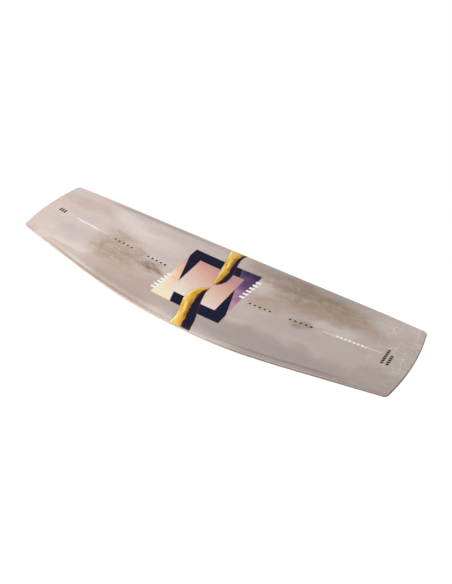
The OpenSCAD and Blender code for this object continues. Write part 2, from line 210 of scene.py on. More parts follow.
def full_outline():
    quarter = quarter_outline()
    half = quarter + mirrored(quarter[:-1], Vector((-1, 1)))
    return half + mirrored(half[1:-1], Vector((1, -1)))


OUTLINE = full_outline()
N_OUT = len(OUTLINE)


def rail_half_width(x):
    x = abs(x)
    if x < RAIL_HALF_ARC:
        return BOARD_W / 2 - RAIL_R + math.sqrt(RAIL_R * RAIL_R - x * x)
    return on_straight(x).y


# ---- Mesh helpers ----

# The piece that stands for each CAD node it replaces
PIECES = {}


def edit(mesh, change):
    """Runs change(bm) on a mesh."""
    bm = bmesh.new()
    bm.from_mesh(mesh)
    change(bm)
    bm.to_mesh(mesh)
    bm.free()


def face_outwards(bm):
    bmesh.ops.recalc_face_normals(bm, faces=bm.faces)


def weld(bm):
    bmesh.ops.remove_doubles(bm, verts=bm.verts, dist=1e-7)
    face_outwards(bm)


def link(obj):
    bpy.context.scene.collection.objects.link(obj)


def new_piece(node, suffix, verts, faces, body=BODY):
    """A smooth-shaded piece that rides on a body and stands for a CAD node."""
    mesh = bpy.data.meshes.new(node + suffix)
    mesh.from_pydata([tuple(v) for v in verts], [], faces)
    mesh.validate()
    edit(mesh, face_outwards)
    for p in mesh.polygons:
        p.use_smooth = True
    obj = bpy.data.objects.new(node + suffix, mesh)
    link(obj)
    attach(obj, body)
    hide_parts(node)
    PIECES[node] = obj
    return obj


def sharpen(obj, degrees):
    """Marks edges sharper than an angle, so that smooth shading keeps them crisp."""
    limit = math.radians(degrees)

    def mark(bm):
        for e in bm.edges:
            if len(e.link_faces) == 2 and e.calc_face_angle(0) > limit:
                e.smooth = False

    edit(obj.data, mark)


def circle_loop(cx, cy, r, n):
    angles = [2 * math.pi * i / n for i in range(n)]
    return [Vector((cx + r * math.cos(a), cy + r * math.sin(a))) for a in angles]


def middle(points):
    return sum(points, Vector((0, 0))) / len(points)


def bridge(faces, *loops):
    """Adds quads between each loop of vertex numbers and the next."""
    for a, b in zip(loops, loops[1:]):
        for i in range(len(a)):
            j = (i + 1) % len(a)
            faces.append((a[i], a[j], b[j], b[i]))


def loft(sections):
    """Points and side faces of a skin over closed sections of equal length."""
    n = len(sections[0])
    faces = []
    bridge(faces, *[range(k * n, (k + 1) * n) for k in range(len(sections))])
    return sum(sections, []), faces


# A triangle whose middle is nearer a round hole's centre than this share of its radius lies in the hole
INSIDE_LOOP = 0.99


def triangulate(loops, inside, merge):
    """The Delaunay fill of closed loops: points, faces, and for each point the input points it stands for."""
    edges, start = [], 0
    for loop in loops:
        n = len(loop)
        edges += [(start + i, start + (i + 1) % n) for i in range(n)]
        start += n
    verts, _, faces, orig, _, _ = delaunay_2d_cdt(sum(loops, []) + inside, edges, [], 1, merge, True)
    return verts, faces, orig


def fill(outer, holes, inside):
    """Triangles of the flat region between an outer loop and round holes, through the given points."""
    coords = sum([outer] + holes, []) + inside
    verts, faces, orig = triangulate([outer] + holes, inside, 1e-6)
    if len(verts) != len(coords):
        raise RuntimeError("the fill moved or merged points")
    circles = [(middle(loop), (loop[0] - middle(loop)).length) for loop in holes]
    kept = []
    for f in faces:
        mid = middle([verts[i] for i in f])
        if all((mid - c).length > r * INSIDE_LOOP for c, r in circles):
            kept.append(tuple(orig[i][0] for i in f))
    return coords, kept


# ---- Holes ----

FOOT_ANG = math.asin(STANCE / 2 / DECK_R)
FOOT_X = STANCE / 2
FOOT_Z = deck_z(FOOT_X)


def at_end(end, m):
    """A frame of the nose's half, turned round the board's middle when it is wanted at the tail."""
    return m if end > 0 else Matrix.Rotation(math.pi, 4, "Z") @ m


def foot_matrix(end):
    """A foot's frame, on the deck and square to it; +x points to the tip."""
    return at_end(end, Matrix.Translation((FOOT_X, 0, FOOT_Z)) @ Matrix.Rotation(-FOOT_ANG, 4, "Y"))


def fin_matrix(end, side):
    """A fin's frame, on the underside; +z points down, away from it."""
    place = Matrix.Translation((FIN_X, end * side * FIN_Y, base_z(FIN_X)))
    return at_end(end, place @ Matrix.Rotation(-BASE_ANG, 4, "Y") @ Matrix.Rotation(math.pi, 4, "X"))


def mouth_z(u):
    """Height of the deck in a foot's frame."""
    return (deck_z(FOOT_X + u * math.cos(FOOT_ANG)) - FOOT_Z - u * math.sin(FOOT_ANG)) * math.cos(FOOT_ANG)


def group_u(away):
    """Places of a foot's inner (-1) or outer (1) group of inserts."""
    return [away * SCREW_SPACING / 2 + (k - (PER_GROUP - 1) / 2) * INSERT_PITCH for k in range(PER_GROUP)]


def deck_holes():
    out = []
    for _, end in ENDS:
        for away in (-1, 1):
            out += [(foot_matrix(end) @ Vector((u, 0, mouth_z(u)))).xy for u in group_u(away)]
    return out


def base_holes():
    out = []
    for _, end in ENDS:
        for _, side in SIDES:
            out += [(fin_matrix(end, side) @ Vector((x, 0, 0))).xy for x in FIN_SCREW_XS]
    return out


# ---- Layers ----

RING_INSET = 12.0
HOLE_R, HOLE_N, HOLE_CLEAR = 4.05, 24, 3.5
GRID_STEP = 13.0
# Insets of the closer rows by the rails, where the bevel's crease runs
CREASE_ROWS = [16, 19.5, 23, 26.5, 30, 35, 42, 51]
LOW_EDGE_R = 2.4
LAMINATE_STEPS, BASE_STEPS = 3, 6
# Insets of the rings that every layer's rim has on each of its faces
TOP_RINGS, LOW_RINGS = (8.0, 5.0, 3.4), (3.4, 7.0)
# Rim of the sheets by the deck, out along the top of the roll and back along its bottom: (inset, share down)
ROLL_INSETS = [2.4, 1.6, 1.0, 0.55, 0.25, 0.08, 0.03]
ROLL_RIM = [(d, 0) for d in ROLL_INSETS] + [(d, 1) for d in reversed(ROLL_INSETS)]


def is_clear(p, holes):
    """Whether a grid point keeps its distance from the tips' rim and from the holes."""
    tip_gap = TIP_R - (Vector((abs(p.x), p.y)) - TIP_CENTRE).length
    in_rim = abs(p.x) > TIP_CENTRE.x and tip_gap < RING_INSET + 4
    return not in_rim and all((p - h).length >= HOLE_R + HOLE_CLEAR for h in holes)


def inner_points(holes):
    """A grid over the board, inside its rim."""
    pts = []
    columns = int(BOARD_L / 2 / GRID_STEP)
    for i in range(-columns, columns + 1):
        x = i * GRID_STEP
        half = rail_half_width(x)
        first = half - CREASE_ROWS[-1]
        rows = int(first / GRID_STEP)
        pitch = first / rows
        ys = [half - d for d in CREASE_ROWS] + [first - pitch * k for k in range(1, rows + 1)]
        for y in ys:
            for s in (1, -1) if abs(y) > 1e-6 else (1,):
                pts.append(Vector((x, s * y)))
    return [p for p in pts if is_clear(p, holes)]


def straight_bulge(p):
    """A hair's outward bow on the straight runs, so that no three points of the fill's rim are in line."""
    if not RAIL_HALF_ARC < abs(p.x) < CORNER_END.x:
        return 0.0
    t = (abs(p.x) - RAIL_HALF_ARC) / (CORNER_END.x - RAIL_HALF_ARC)
    return 0.2 * t * (1 - t)


def layer(node, top, bottom, rim, holes, lip):
    """A closed sheet between two heights. rim lists (inset, share of the way down); lip rounds the holes."""
    hole_loops = [circle_loop(h.x, h.y, HOLE_R + lip, HOLE_N) for h in holes]
    ring = [p - d * (RING_INSET - straight_bulge(p)) for p, d in OUTLINE]
    coords, tris = fill(ring, hole_loops, inner_points(holes))
    verts, faces = [], []

    def add(points, share, inset=WELL_IN):
        start = len(verts)
        for q in points:
            t, b = top(q.x, q.y, inset), bottom(q.x, q.y, inset)
            verts.append((q.x * MM, q.y * MM, (t + (b - t) * share) * MM))
        return range(start, len(verts))

    upper = add(coords, 0)
    faces.extend(tris)
    rings = []
    for inset, share in [(d, 0) for d in TOP_RINGS] + rim + [(d, 1) for d in LOW_RINGS]:
        rings.append(add([p - d * inset for p, d in OUTLINE], share, inset))
    bridge(faces, upper[:N_OUT], *rings)
    lower = add(coords, 1)
    faces.extend(tuple(lower[i] for i in reversed(f)) for f in tris)
    bridge(faces, rings[-1], lower[:N_OUT])
    for k, h in enumerate(holes):
        at = slice(N_OUT + k * HOLE_N, N_OUT + (k + 1) * HOLE_N)
        lip_ring = add(circle_loop(h.x, h.y, HOLE_R + lip * 0.3, HOLE_N), lip * 0.3)
        wall_ring = add(circle_loop(h.x, h.y, HOLE_R, HOLE_N), lip * 1.2)
        bridge(faces, upper[at], lip_ring, wall_ring, lower[at])
    new_piece(node, "_shell", verts, faces)


def below_deck(depth):
    return lambda x, y, inset: top_z(x, y, inset) - depth


def above_base(height):
    return lambda x, y, inset: base_z(x) + height


def low_inset(height):
    """Inset of the rounded lower edge at a height above the underside."""
    if height >= LOW_EDGE_R:
        return 0.0
    return LOW_EDGE_R - math.sqrt(LOW_EDGE_R * LOW_EDGE_R - (LOW_EDGE_R - height) ** 2)


def low_laminate_rim():
    shares = spaced(0, 1, LAMINATE_STEPS) + [1]
    return [(low_inset(LAMINATE_UP + LAMINATE_T * (1 - share)), share) for share in shares]


def base_rim():
    """Steps that get finer towards the underside, where the edge is roundest."""
    heights = [BASE_SHEET_T * (1 - share) ** 2 for share in spaced(0, 1, BASE_STEPS) + [1]]
    return [(low_inset(h), 1 - h / BASE_SHEET_T) for h in heights]


def make_layers():
    deck, base = deck_holes(), base_holes()
    layer("deck_sheet", below_deck(0.0), below_deck(DECK_SHEET_T), ROLL_RIM, deck, 0.25)
    low = below_deck(LAMINATE_DEPTH + LAMINATE_T)
    layer("upper_laminate", below_deck(LAMINATE_DEPTH), low, ROLL_RIM, deck, 0.06)
    high = above_base(LAMINATE_UP + LAMINATE_T)
    layer("lower_laminate", high, above_base(LAMINATE_UP), low_laminate_rim(), base, 0.06)
    layer("base_sheet", above_base(BASE_SHEET_T), above_base(0.0), base_rim(), base, 0.06)


# ---- Sidewalls and tip spacers ----

# Points of the outline nearer a cut than this are left out of the pieces that meet there
CUT_GAP = 0.5
# A point well inside each tip, round which its spacer's points are put in order
TIP_INSIDE_X = 400.0
WALL_STEPS = 5


def edge_section(p, inward):
    """Closed section of the sidewall at an outline point; inward is the step per millimetre of inset."""

    def low(inset, height):
        q = p + inward * inset
        return Vector((q.x, q.y, base_z(q.x) + height))

    def high(inset, depth):
        q = p + inward * inset
        return Vector((q.x, q.y, top_z(q.x, q.y, inset) - depth))

    pts = [low(low_inset(h), h) for h in (CORE_UP, CORE_UP + 0.35, LOW_EDGE_R + 0.2)]
    foot, head = pts[-1], high(0, CORE_DEPTH + 0.25)
    pts += [foot.lerp(head, share) for share in spaced(0, 1, WALL_STEPS)[1:]]
    pts.append(high(0, CORE_DEPTH + 0.05))
    pts += [high(inset, CORE_DEPTH) for inset in (0.08, 0.3, 0.8, 1.6, 3, 7, SIDEWALL_W)]
    pts += [low(inset, CORE_UP) for inset in (SIDEWALL_W, 6)]
    return pts


def edge_piece(node, rows):
    """A closed strip of the rail over rows of (outline point, inward step)."""
    sections = [edge_section(p, inward) for p, inward in rows]
    verts, faces = loft(sections)
    n = len(sections[0])
    faces.append(tuple(range(n)))
    faces.append(tuple(reversed(range(len(verts) - n, len(verts)))))
    sharpen(new_piece(node, "_shell", [v * MM for v in verts], faces), 50)


def cut_row(x, side):
    """Where a square cut across the board meets its rim."""
    p = on_straight(abs(x))
    return Vector((math.copysign(p.x, x), side * p.y)), Vector((0, -side / math.cos(RAIL_ANG)))


def rim_rows(wanted):
    return [(p, -d) for p, d in OUTLINE if wanted(p)]


def sidewall(name, side):
    inner = rim_rows(lambda p: abs(p.x) < SIDEWALL_END - CUT_GAP and p.y * side > 0)
    inner.sort(key=lambda row: row[0].x)
    tail_cut, nose_cut = cut_row(-SIDEWALL_END, side), cut_row(SIDEWALL_END, side)
    edge_piece(name + "_sidewall", [tail_cut] + inner + [nose_cut])


def tip_spacer(name, end):
    x = end * (SIDEWALL_END + BOND_T)
    inner = rim_rows(lambda p: p.x * end > SIDEWALL_END + CUT_GAP)
    inner.sort(key=lambda row: math.atan2(row[0].y, row[0].x * end - TIP_INSIDE_X))
    edge_piece(name + "_tip_spacer", [cut_row(x, -1)] + inner + [cut_row(x, 1)])


# ---- Turned pieces: inserts and screws ----

INSERT_N, SCREW_N = 32, 36
# THREAD_FLAT is the share of each flank's width that is flat at the root, and again at the crest
THREAD_PITCH, THREAD_FLAT, RINGS_PER_TURN = 1.0, 0.12, 6
BORE_MINOR_R, BORE_R = 2.55, 3.0
COLLAR_R, BARREL_R, FLANGE_R = 4.0, 5.5, 8.0
KNURL_DEPTH, KNURL_STEPS = 0.16, 4
SCREW_R, SCREW_ROOT_R, SCREW_HEAD_R = 2.95, 2.45, 6.0
HEX_AF = 4.0


def turned(rings, n, cap_first):
    """Points and faces of a lathe whose last ring is capped. Each ring is (radius or r(angle), height)."""
    sections = []
    for r, z in rings:
        section = []
        for i in range(n):
            a = 2 * math.pi * i / n
            here = r(a) if callable(r) else r
            section.append(Vector((here * math.cos(a), here * math.sin(a), z)))
        sections.append(section)
    verts, faces = loft(sections)
    if cap_first:
        faces.append(tuple(range(n)))
    faces.append(tuple(range(len(verts) - n, len(verts))))
    return verts, faces


def thread_r(crest, root, z, fade):
    """Radius of a helical thread at height z, as a function of the angle."""

    def r(angle):
        phase = (z / THREAD_PITCH - angle / (2 * math.pi)) % 1.0
        ridge = 1 - abs(2 * phase - 1)
        ridge = min(max((ridge - THREAD_FLAT) / (1 - 2 * THREAD_FLAT), 0), 1)
        return root + (crest - root) * ridge * fade

    return r


def knurled(depth):
    return lambda a: BARREL_R - depth * (0.5 + 0.5 * math.cos(a * INSERT_N / 2))


def insert_shape(length):
    """Collar, barrel, flange and threaded bore of a press-in insert, its collar's top at z = 0."""
    rings = [(BORE_R + 0.15, 0.0), (COLLAR_R - 0.15, 0.0), (COLLAR_R - 0.03, -0.05), (COLLAR_R, -0.15)]
    rings += [(COLLAR_R, -1.9), (COLLAR_R, -2.05), (BARREL_R - 0.2, -2.05), (BARREL_R, -2.25)]
    knurl_top, knurl_low = -2.6, -length + 2.2
    for i in range(KNURL_STEPS + 1):
        depth = KNURL_DEPTH if 0 < i < KNURL_STEPS else 0.0
        rings.append((knurled(depth), knurl_top + (knurl_low - knurl_top) * i / KNURL_STEPS))
    rings += [(BARREL_R, -length + 1.5), (FLANGE_R - 0.15, -length + 1.5), (FLANGE_R, -length + 1.35)]
    rings += [(FLANGE_R, -length + 0.15), (FLANGE_R - 0.15, -length), (4.0, -length), (1.2, -length)]
    outer, outer_faces = turned(rings, INSERT_N, False)
    floor_z = -length + 1.2
    bore = [(BORE_R + 0.15, 0.0), (BORE_R, -0.35)]
    z = -0.6
    while z > floor_z + 0.6:
        bore.append((thread_r(BORE_MINOR_R, BORE_R, z, min(1, -z - 0.5)), z))
        z -= THREAD_PITCH / RINGS_PER_TURN
    bore += [(2.95, floor_z + 0.3), (2.9, floor_z), (1.2, floor_z - 0.1)]
    inner, inner_faces = turned(bore, INSERT_N, False)
    return outer + inner, outer_faces + [tuple(len(outer) + i for i in f) for f in inner_faces]


def hex_r(a):
    """Radius of the socket's hexagon."""
    sector = math.pi / 3
    return HEX_AF / 2 / math.cos(a % sector - sector / 2)


def screw_shape():
    """Countersunk socket screw: the head's face at z = 0 and the shank along -z."""
    rings = [(0.7, -2.35), (lambda a: hex_r(a) * 0.96, -2.0), (hex_r, -1.9), (hex_r, -0.25)]
    rings += [(lambda a: hex_r(a) + 0.12, -0.06), (lambda a: max(hex_r(a) + 0.3, 2.6), 0.0)]
    rings += [(5.3, 0.0), (SCREW_HEAD_R - 0.15, -0.03), (SCREW_HEAD_R, -0.14), (SCREW_HEAD_R - 0.1, -0.3)]
    rings += [(SCREW_R + 0.35, -2.75), (SCREW_R, -3.15)]
    z = -3.3
    while z > -FIN_SCREW_L + 0.9:
        fade = min(1, (-z - 3.2) / 0.8)
        rings.append((thread_r(SCREW_R, SCREW_ROOT_R, z, 1) if fade == 1 else SCREW_R - 0.1 * fade, z))
        z -= THREAD_PITCH / RINGS_PER_TURN
    rings += [(2.4, -FIN_SCREW_L + 0.6), (2.2, -FIN_SCREW_L + 0.1), (1.9, -FIN_SCREW_L), (0.7, -FIN_SCREW_L)]
    return turned(rings, SCREW_N, True)


def placed(node, suffix, shape, matrices, body=BODY):
    """One piece holding a copy of the shape at each matrix."""
    verts, faces = [], []
    for m in matrices:
        start = len(verts)
        verts += [(m @ v) * MM for v in shape[0]]
        faces += [tuple(start + i for i in f) for f in shape[1]]
    obj = new_piece(node, suffix, verts, faces, body)
    edit(obj.data, weld)
    sharpen(obj, 40)


# ---- Fins ----

FIN_EDGE_R, FIN_END_STEPS = 1.1, 12
FIN_HEAD_R, FIN_SHANK_R, FIN_HOLE_LIP, FIN_HOLE_N = 6.05, 3.3, 0.15, 32
BLADE_HALF_L, BLADE_H = FIN_BLADE_L / 2, FIN_H - FIN_FOOT_T - BOND_T
BLADE_ARC_R = (BLADE_HALF_L**2 + BLADE_H**2) / 2 / BLADE_H
BLADE_ROOT_HALF = 3.5
# The fillet at its root, and the span of its rows
FILLET_W, FILLET_H, FILLET_SPAN = 1.6, 0.7, 0.45
BLADE_COLUMNS = 28
# Rows across the blade, as shares of its half thickness; past 1 they lie on the fillet at its root
HALF_ROWS = [0.18, 0.35, 0.5, 0.65, 0.8, 0.9, 0.97, 1.0, 1.2, 1 + FILLET_SPAN]
BLADE_ROWS = [-v for v in reversed(HALF_ROWS)] + [0] + HALF_ROWS


def stadium(width):
    """Loop round the fin's foot, counter-clockwise: a slot shape of a width, round the two screws."""
    r = width / 2
    pts = []
    for k in (1, -1):
        for i in range(FIN_END_STEPS + 1):
            a = -math.pi / 2 + math.pi * i / FIN_END_STEPS
            pts.append(Vector((k * (FIN_SCREW_GAP / 2 + r * math.cos(a)), k * r * math.sin(a))))
    return pts


def screw_circles(r):
    return [circle_loop(x, 0, r, FIN_HOLE_N) for x in FIN_SCREW_XS]


def root_half(u):
    """Half the blade's thickness at its root, at a share u of its half length."""
    return BLADE_ROOT_HALF * max(1 - abs(u) ** 5, 0.0) ** 0.5


def blade_grid():
    """Points of the blade's skin, in rows across it from one end to the other."""
    grid = []
    for i in range(BLADE_COLUMNS + 1):
        u = -math.cos(math.pi * i / BLADE_COLUMNS)
        x = u * BLADE_HALF_L
        h = math.sqrt(max(BLADE_ARC_R**2 - x * x, 0)) - (BLADE_ARC_R - BLADE_H)
        row = []
        for v in BLADE_ROWS:
            off = max(abs(v) - 1, 0) / FILLET_SPAN
            y = max(min(v, 1), -1) * root_half(u) + math.copysign(off * FILLET_W, v)
            fillet = FILLET_H * (1 - off) ** 2 * min(1, h / 2)
            core = max(1 - abs(v) ** 3.2, 0.0)
            row.append(Vector((x, y, FIN_FOOT_T + fillet + max(h - FILLET_H, 0) * core)))
        grid.append(row)
    return grid


def grid_rim(grid):
    rim = [row[0] for row in grid] + grid[-1][1:]
    rim += [row[-1] for row in reversed(grid[:-1])] + grid[0][-2:0:-1]
    return [p.xy for p in rim]


def in_opening(p):
    """Whether a point of the foot's top face lies in a screw hole or under the blade."""
    head_r = (FIN_HEAD_R + FIN_HOLE_LIP) * INSIDE_LOOP
    in_hole = any((p - Vector((x, 0))).length < head_r for x in FIN_SCREW_XS)
    u = p.x / BLADE_HALF_L
    return in_hole or (abs(u) < 1 and abs(p.y) < root_half(u) + FILLET_W - 1e-4)


def fin_shape():
    """Foot and blade in one skin, with countersunk holes; the board is at z = 0, the blade's edge at +z."""
    grid = blade_grid()
    outer = stadium(FIN_FOOT_W - 2 * FIN_EDGE_R)
    loops = [outer] + screw_circles(FIN_HEAD_R + FIN_HOLE_LIP) + [grid_rim(grid)]
    top, tris, orig = triangulate(loops, [], 1e-5)
    verts = [Vector((p.x, p.y, FIN_FOOT_T)) for p in top]
    faces = [tuple(f) for f in tris if not in_opening(middle([top[i] for i in f]))]
    # Points of the fill that fell together share one vertex
    vertex_of = {o: k for k, group in enumerate(orig) for o in group}

    def add(loop, z):
        start = len(verts)
        verts.extend(Vector((p.x, p.y, z)) for p in loop)
        return range(start, len(verts))

    # Side of the foot: a rounded edge and a slight draft, down to the face against the board
    side = [(0.55, FIN_FOOT_T - 0.12), (0.2, FIN_FOOT_T - 0.45), (0.05, FIN_FOOT_T - 1.0)]
    side += [(0.0, 0.35 + BOND_T), (0.12, BOND_T)]
    rings = [add(stadium(FIN_FOOT_W - 2 * inset), z) for inset, z in side]
    bridge(faces, [vertex_of[i] for i in range(len(outer))], *rings)
    low_coords, low_tris = fill([verts[i].xy for i in rings[-1]], screw_circles(FIN_SHANK_R), [])
    low = list(rings[-1]) + list(add(low_coords[len(outer):], BOND_T))
    faces += [tuple(low[i] for i in f) for f in low_tris]
    # Countersunk holes
    seat_z = FIN_FOOT_T - SCREW_SUNK
    cone = ((FIN_HEAD_R, FIN_FOOT_T - 0.15), (FIN_HEAD_R, seat_z - 0.05), (FIN_SHANK_R, seat_z - 2.8))
    for k, x in enumerate(FIN_SCREW_XS):
        first = len(outer) + FIN_HOLE_N * k
        mouth = [vertex_of[i] for i in range(first, first + FIN_HOLE_N)]
        rings = [add(circle_loop(x, 0, r, FIN_HOLE_N), z) for r, z in cone]
        bridge(faces, mouth, *rings, low[first:first + FIN_HOLE_N])
    # The blade's own faces; welding joins its rim to the fill
    m = len(BLADE_ROWS)
    start = len(verts)
    verts += sum(grid, [])
    for i in range(BLADE_COLUMNS):
        for a in range(start + i * m, start + (i + 1) * m - 1):
            faces.append((a, a + m, a + m + 1, a + 1))
    return verts, faces


def make_fittings():
    """The inserts of both feet, and the inserts, screws and fins below."""
    for end_name, end in ENDS:
        for kind, away, length in (("inner", -1, INNER_INSERT_L), ("outer", 1, OUTER_INSERT_L)):
            mouths = [Matrix.Translation((u, 0, mouth_z(u) - INSERT_SUNK)) for u in group_u(away)]
            node = f"{end_name}_{kind}_stance_inserts"
            placed(node, "_turned", insert_shape(length), [foot_matrix(end) @ m for m in mouths])
        for side_name, side in SIDES:
            fin = f"{end_name}_{side_name}_fin"
            base = fin_matrix(end, side)
            seats = [base @ Matrix.Translation((x, 0, 0)) for x in FIN_SCREW_XS]
            sunk = [m @ Matrix.Translation((0, 0, -INSERT_SUNK)) for m in seats]
            heads = [m @ Matrix.Translation((0, 0, FIN_FOOT_T - SCREW_SUNK)) for m in seats]
            placed(fin + "_inserts", "_turned", insert_shape(FIN_INSERT_L), sunk)
            placed(fin + "_screws", "_turned", screw_shape(), heads, fin + "_unit")
            placed(fin, "_moulded", fin_shape(), [base], fin + "_unit")


# ---- Shader graphs ----


def linear(colour):
    """Linear red, green, blue and alpha of a screen colour such as "#ff8000"."""
    out = []
    for i in (1, 3, 5):
        c = int(colour[i:i + 2], 16) / 255
        out.append(c / 12.92 if c <= 0.04045 else ((c + 0.055) / 1.055) ** 2.4)
    return (*out, 1.0)


def add_node(tree, kind, *inputs, **named):
    """A shader node; its first inputs are fed in order, and None leaves one as it is.

    Other inputs and the node's settings come by name.
    """
    node = tree.nodes.new("ShaderNode" + kind)
    for socket, value in zip(node.inputs, inputs):
        feed(tree, socket, value)
    for key, value in named.items():
        if key in node.inputs:
            feed(tree, node.inputs[key], value)
        else:
            setattr(node, key, value)
    return node


def feed(tree, socket, value):
    """Feeds a socket from another node, a number or a screen colour."""
    if isinstance(value, Val):
        value = value.socket
    if isinstance(value, bpy.types.NodeSocket):
        tree.links.new(value, socket)
    elif value is not None:
        socket.default_value = linear(value) if isinstance(value, str) else value


def add_ramp(tree, value, stops):
    """A colour ramp with (position, linear colour) stops."""
    node = add_node(tree, "ValToRGB", value)
    elements = node.color_ramp.elements
    while len(elements) < len(stops):
        elements.new(0.5)
    for item, (at, colour) in zip(elements, stops):
        item.position = at
        item.color = colour
    return node.outputs[0]


def operation(kind, swapped=False):
    """A method of Val that adds a math node on it and on the other value, if there is one."""
    if swapped:
        return lambda self, other: self.graph.add("Math", other, self, operation=kind)
    return lambda self, *other: self.graph.add("Math", self, *other, operation=kind)


class Val:
    """A number or colour in a shader graph, with arithmetic."""

    def __init__(self, graph, socket):
        self.graph, self.socket = graph, socket

    __add__ = __radd__ = operation("ADD")
    __sub__, __rsub__ = operation("SUBTRACT"), operation("SUBTRACT", True)
    __mul__ = __rmul__ = operation("MULTIPLY")
    __truediv__ = operation("DIVIDE")
    __abs__ = operation("ABSOLUTE")
    max, min = operation("MAXIMUM"), operation("MINIMUM")
    root, frac = operation("SQRT"), operation("FRACT")

    def step(self, lo, hi):
        """0 below lo and 1 above hi, smooth between; lo may be the larger."""
        return self.graph.add("MapRange", self, lo, hi, 0.0, 1.0, interpolation_type="SMOOTHSTEP")

    def poly(self, *coefficients):
        """Polynomial of this value, its constant term first."""
        out = coefficients[-1]
        for c in reversed(coefficients[:-1]):
            out = self * out + c
        return out


# Every material made, by its name; those for the board are named after the record's slots
MATERIALS = {}


class Graph:
    """A material's shader graph; x, y and z are places on the object in millimetres."""

    INPUTS = {
        "colour": "Base Color",
        "rough": "Roughness",
        "metal": "Metallic",
        "normal": "Normal",
        "coat": "Coat Weight",
        "coat_rough": "Coat Roughness",
        "coat_normal": "Coat Normal",
        "specular": "Specular IOR Level",
    }

    def __init__(self, name):
        material = bpy.data.materials.new(name)
        MATERIALS[name] = material
        material.use_nodes = True
        self.tree = material.node_tree
        self.tree.nodes.clear()
        self.bsdf = add_node(self.tree, "BsdfPrincipled")
        self.out = add_node(self.tree, "OutputMaterial", self.bsdf.outputs[0])
        coords = add_node(self.tree, "TexCoord")
        split = add_node(self.tree, "SeparateXYZ", coords.outputs["Object"])
        self.x, self.y, self.z = (Val(self, s) * 1000.0 for s in split.outputs)

    def add(self, kind, *inputs, **named):
        """The first output of a new node."""
        return Val(self, add_node(self.tree, kind, *inputs, **named).outputs[0])

    def vec(self, x, y, z):
        return self.add("CombineXYZ", x, y, z)

    def noise(self, x, y, z=0.0, detail=3.0, rough=0.5, distort=0.0):
        """Fractal noise, about 0.5 on average; x, y and z are already in units of its largest features."""
        place = self.vec(x, y, z)
        return self.add("TexNoise", place, Scale=1.0, Detail=detail, Roughness=rough, Distortion=distort)

    def cracks(self, x, y, z):
        """Distance to the nearest edge between cells."""
        return self.add("TexVoronoi", self.vec(x, y, z), Scale=1.0, feature="DISTANCE_TO_EDGE")

    def mix(self, amount, a, b):
        return self.add("MixRGB", amount, a, b)

    def over(self, base, *coats):
        """A colour with (amount, colour) coats laid over it one after another."""
        for amount, colour in coats:
            base = self.mix(amount, base, colour)
        return base

    def shaded(self, colour, change):
        """A colour made lighter or darker by a share of itself."""
        shade = change + 1.0
        return self.add("MixRGB", 1.0, colour, self.vec(shade, shade, shade), blend_type="MULTIPLY")

    def ramp(self, value, *stops):
        return Val(self, add_ramp(self.tree, value, [(at, linear(colour)) for at, colour in stops]))

    def bump(self, height_mm, strength):
        return self.add("Bump", Strength=strength, Distance=MM, Height=height_mm)

    def finish(self, **inputs):
        for key, value in inputs.items():
            feed(self.tree, self.bsdf.inputs[self.INPUTS[key]], value)


# ---- The printed deck ----

PALE, LILAC = "#ded3cb", "#bcb2b3"
BROWN, UMBER = "#ab927e", "#947e6a"
DUSK, TAN = "#9e908c", "#b6a094"
WHITE, DARK = "#f3f1ee", "#1e1c1f"
INK, MAROON = "#0c102a", "#5c2222"

# Clouds and smoother haze, each as its middle, its half sizes, its strength and its colour
CLOUDS = [
    (-376, -48, 124, 78, 0.85, BROWN),
    (-335, -50, 120, 60, 0.5, BROWN),
    (-205, -38, 58, 34, 1.0, UMBER),
    (-395, 30, 80, 20, 0.5, BROWN),
    (-250, -95, 120, 30, 0.25, BROWN),
    (-170, -110, 90, 40, 0.4, BROWN),
    (395, 98, 185, 60, 0.95, UMBER),
    (300, 128, 110, 34, 0.7, UMBER),
    (490, 70, 150, 34, 0.6, BROWN),
    (225, 150, 150, 42, 0.6, UMBER),
    (330, 55, 120, 34, 0.6, BROWN),
    (366, -4, 54, 26, 0.8, UMBER),
    (215, 25, 80, 40, 0.65, BROWN),
    (610, 60, 60, 30, 0.4, BROWN),
    (-600, 90, 120, 30, 0.3, BROWN),
]
HAZE = [
    (-545, -60, 80, 38, 0.45, LILAC),
    (-430, 108, 110, 36, 0.75, PALE),
    (-270, 80, 120, 40, 0.5, PALE),
    (330, -150, 420, 62, 0.75, DUSK),
    (-220, -140, 230, 50, 0.75, TAN),
    (-480, -150, 130, 26, 0.3, TAN),
    (480, 16, 90, 16, 0.3, PALE),
    (165, 95, 34, 34, 0.3, PALE),
    (-560, -120, 110, 14, 0.5, PALE),
    (640, 120, 90, 40, 0.25, PALE),
    (-330, 92, 60, 10, 0.6, PALE),
    (690, -100, 90, 56, 0.55, DUSK),
    (-590, 20, 60, 30, 0.3, LILAC),
    (-700, -140, 40, 26, 0.5, TAN),
]

# The square picture's outline and the window in its frame, as (x from, x to, y from, y to)
PICTURE = (-137, 142, -132, 132)
WINDOW = (-90, 97, -88, 90)
# The direction square to the two slanted cuts in the frame
CUT_X, CUT_Y = 0.938, 0.347

# Plain bars beside the picture: middle, half width, half height and pitch
BARS = ((-140, -66, 9, 46, 15.4), (143, 60, 10, 52, 17.4))


def within(v, lo, hi, soft=0.35):
    """1 between two edges, 0 beyond them."""
    return (v - lo).step(-soft, soft) * (v - hi).step(soft, -soft)


def in_box(x, y, x_lo, x_hi, y_lo, y_hi):
    return within(x, x_lo, x_hi) * within(y, y_lo, y_hi)


def stripes(v, pitch, share):
    """1 over a share of each pitch, 0 over the rest."""
    return (v / pitch).frac().step(share + 0.02, share - 0.02)


def spot(x, y, cx, cy, rx, ry):
    """1 at the middle of a soft ellipse, 0 outside it."""
    dx, dy = (x - cx) / rx, (y - cy) / ry
    return (dx * dx + dy * dy).step(1.4, 0.1)


